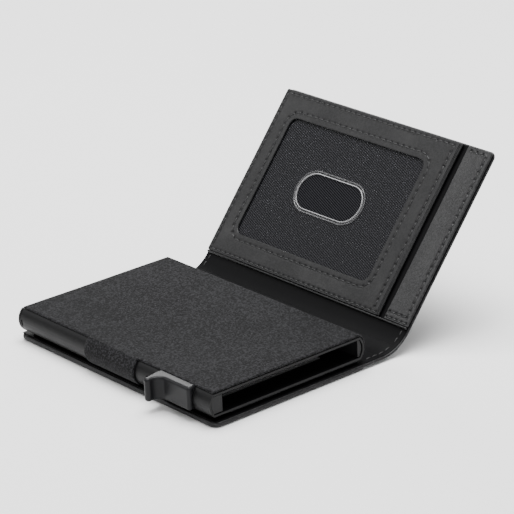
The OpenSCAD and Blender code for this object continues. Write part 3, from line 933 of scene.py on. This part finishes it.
def thumb_bead():
    """A bead moulded round the thumb hole: two ridges with a channel between them.

    Its UV map counts points round the hole and is in metres across the bead.
    """
    offsets, ridge_in, ridge_wide = np.linspace(0, rim_band, 19), 0.38 * MM, 0.26 * MM
    ridge = np.exp(-((offsets - ridge_in) / ridge_wide) ** 2)
    ridge += np.exp(-((offsets - (rim_band - ridge_in)) / ridge_wide) ** 2)
    height = (rim_high[2] - rim_low[2]) * np.clip(0.12 + 0.88 * ridge, 0, 1)
    height[[0, -1]] = 0.03 * MM
    section = [(o, rim_low[2] + h) for o, h in zip(offsets, height)]
    section += [(rim_band * 0.7, rim_low[2] - 0.01 * MM), (rim_band * 0.3, rim_low[2] - 0.01 * MM)]
    rings = []
    count = 288
    for offset, d in section:
        r = (rim_high[1] - rim_low[1]) / 2 - offset
        outline = round_rect(rim_low[0] + offset, rim_high[0] - offset, rim_low[1] + offset,
                             rim_high[1] - offset, r * 0.9999)
        spaced = evenly(outline, 1 * MM)
        along = np.linspace(0, len(spaced) - 1, count + 1)[:-1]
        outline = np.stack([np.interp(along, np.arange(len(spaced)), spaced[:, k]) for k in (0, 1)], axis=-1)
        rings.append(on_flap(outline[:, 0], outline[:, 1], np.full(count, d)))
    points, faces = skin(rings, looped=True)
    flat = [(k, offset) for offset, _ in section for k in range(count)]
    return finished_mesh("thumb_hole_bead", points, faces, clear_bead_with_painted_highlights, flat)


dress(thumb_bead(), ["thumb_rim"], body="flap")

frame_low, frame_high = flap_extent("id_frame")
pocket_side_low, pocket_side_high = flap_extent("side_pocket")
rim_mid = (rim_low + rim_high) / 2
WINDOW_HALF = (32.7 * MM, 22.2 * MM)
WINDOW = (rim_mid[0] - WINDOW_HALF[0], rim_mid[0] + WINDOW_HALF[0],
          rim_mid[1] - WINDOW_HALF[1], rim_mid[1] + WINDOW_HALF[1], 3 * MM)
RING_OUT = 2.3 * MM
FOOT = 1.9 * MM         # height of the foot seam above the fold
FOOT_PITCH = 2.5 * MM
WINDOW_PITCH = 2.8 * MM
SIDE_FOOT = 3.9 * MM    # height of the side panel's lower row
CREASES = (0.75 * MM, 1.25 * MM)    # burnished lines, from the frame's edge at the slot
top_v = frame_high[1] - 1.4 * MM
slot_x = frame_high[0] - 3.3 * MM
left_x = frame_low[0] + 1.3 * MM
right_x = pocket_side_high[0] - 1.9 * MM
ring_row = stitch_row(round_rect(WINDOW[0] - RING_OUT, WINDOW[1] + RING_OUT, WINDOW[2] - RING_OUT,
                                 WINDOW[3] + RING_OUT, WINDOW[4] + RING_OUT), WINDOW_PITCH)
outer_rows = [line(left_x, FOOT + 1.5 * MM, left_x, top_v, PITCH),
              line(left_x, top_v, slot_x, top_v, PITCH),
              line(slot_x, FOOT + 1.5 * MM, slot_x, top_v, PITCH)]
foot_row = line(left_x, FOOT, slot_x + 1.5 * MM, FOOT, FOOT_PITCH)
side_rows = [stitch_row([(pocket_side_low[0] + 2.2 * MM, top_v), (right_x, top_v), (right_x, SIDE_FOOT),
                         (pocket_side_low[0] + 1.2 * MM, SIDE_FOOT)], PITCH)]
side_foot = line(pocket_side_low[0] + 0.8 * MM, FOOT, right_x + 0.8 * MM, FOOT, FOOT_PITCH)
frame_mid_v = (frame_low[1] + frame_high[1]) / 2
frame_half_v = (frame_high[1] - frame_low[1]) / 2


def bowed(edge_x, amount):
    """A slot edge that bows away from its neighbour at mid height."""
    def warp(x, s):
        near = np.exp(-((x - edge_x) / (4 * MM)) ** 2)
        return x + amount * near * (1 - ((s - frame_mid_v) / frame_half_v) ** 2), s
    return warp


def frame_relief(x, s):
    """Stitches, the crease beside the slot edge, and the leather's slight lift at the window's lip."""
    creases = sum(np.exp(-((x - (frame_high[0] - off)) / (0.13 * MM)) ** 2) for off in CREASES)
    return frame_pull(x, s) - 0.12 * MM * creases + 0.03 * MM * np.sin(x / (6 * MM)) * np.sin(s / (5 * MM))


frame_pull = pulled([ring_row, foot_row] + outer_rows)
side_pull = pulled(side_rows + [side_foot])
frame_panel = panel("window_frame_leather", (frame_low[0], frame_high[0]), (frame_low[1], frame_high[1]),
                    (frame_low[2], frame_high[2]), on_flap, panel_leather, LEATHER_ROLL * 0.85,
                    step=0.4 * MM, relief=frame_relief, opening=WINDOW, warp=bowed(frame_high[0], -0.3 * MM),
                    creases=tuple(frame_high[0] - off for off in CREASES))
dress(frame_panel, ["id_frame"], body="flap")
side_panel = panel("side_pocket_leather", (pocket_side_low[0], pocket_side_high[0]),
                   (pocket_side_low[1], pocket_side_high[1]), (pocket_side_low[2], pocket_side_high[2]),
                   on_flap, side_leather_painted_sheen, LEATHER_ROLL * 0.85, step=0.3 * MM, relief=side_pull,
                   warp=bowed(pocket_side_low[0], 0.2 * MM))
dress(side_panel, ["side_pocket"], body="flap")
for name, rows, height, pitch, seed in (
    ("window_stitches", [ring_row], frame_high[2], WINDOW_PITCH, 17),
    ("frame_stitches", outer_rows, frame_high[2], PITCH, 19),
    ("foot_stitches", [foot_row], frame_high[2], FOOT_PITCH, 23),
    ("side_pocket_stitches", side_rows, pocket_side_high[2], PITCH, 29),
    ("side_foot_stitches", [side_foot], pocket_side_high[2], FOOT_PITCH, 31),
):
    dress(sew(name, rows, on_flap, height - 0.1 * MM, 1, pitch, seed), body="flap")


def rolled_edge():
    """The turned edge along the foot of the flap's panels, nipped in at each stitch."""
    low, high = flap_extent("seam_roll")
    radius = (high[1] - low[1]) / 2
    rings, flat = [], []
    along = np.linspace(low[0], high[0], 420)
    for x in along:
        end = min(x - low[0], high[0] - x) / radius
        size = radius * math.sqrt(max(0.02, 1 - (1 - min(1, end)) ** 2))
        size *= 1 - 0.14 * max(0, math.cos(math.tau * x / FOOT_PITCH)) ** 3
        turns = np.arange(12) * math.tau / 12
        rings.append(on_flap(np.full(12, x), low[1] + radius + size * np.cos(turns),
                             radius + size * np.sin(turns)))
        flat += [(x, radius * turn) for turn in turns]
    points, faces = skin(rings)
    return finished_mesh("rolled_foot_edge", points, faces, panel_leather, flat)


dress(rolled_edge(), ["seam_roll"], body="flap")

# ---------------------------------------------------------------- studio

def pale_floor():
    """Matt pale card, even but for a very faint mottle."""
    made, tree, shader = new_material("matt pale card", Roughness=0.9)
    soft = add(tree, "ShaderNodeTexNoise", {"Vector": piece_coordinates(tree), "Scale": 6.0, "Detail": 3})
    two_tone(tree, shader, soft.outputs["Fac"], "#f4f4f4", "#fafafa")
    return made


FLOOR = 4               # half the floor's side
CAMERA_AT = (0.60706, -0.48049, 0.33945)
CAMERA_AIM = (0.0072, 0.0235, 0.0284)
CAMERA_ROLL = -2.38     # degrees

floor = finished_mesh("floor", [(-FLOOR, -FLOOR, 0), (FLOOR, -FLOOR, 0), (FLOOR, FLOOR, 0), (-FLOOR, FLOOR, 0)],
                      [(0, 1, 2, 3)], pale_floor())

world = bpy.data.worlds.new("soft studio")
world.use_nodes = True
world.node_tree.nodes["Background"].inputs["Color"].default_value = (1, 1, 1, 1)
world.node_tree.nodes["Background"].inputs["Strength"].default_value = 0.4
bpy.context.scene.world = world

scene_middle = (Vector(cad_box[0]) + Vector(cad_box[1])) / 2


def softbox(name, offset, size, power):
    """A square area light that faces the middle of the object."""
    data = bpy.data.lights.new(name, "AREA")
    data.size, data.energy = size, power
    made = bpy.data.objects.new(name, data)
    made.location = scene_middle + Vector(offset)
    made.rotation_euler = (-Vector(offset)).to_track_quat("-Z", "Y").to_euler()
    bpy.context.scene.collection.objects.link(made)


softbox("overhead softbox", (-0.1, 0.1, 1.1), 0.9, 34)
softbox("left softbox", (-1.0, -0.6, 0.8), 0.5, 3.5)
softbox("front softbox", (0.9, -0.85, 0.35), 0.5, 4)
softbox("back softbox", (-1.1, 0.75, 0.45), 0.5, 6)

camera_data = bpy.data.cameras.new("camera")
camera_data.lens = 184.3
camera_data.clip_start, camera_data.clip_end = 0.01, 20
camera = bpy.data.objects.new("camera", camera_data)
camera.location = CAMERA_AT
looks = Vector(CAMERA_AIM) - camera.location
level = looks.to_track_quat("-Z", "Y")
camera.rotation_euler = (level @ Quaternion((0, 0, 1), math.radians(CAMERA_ROLL))).to_euler()
bpy.context.scene.collection.objects.link(camera)
bpy.context.scene.camera = camera
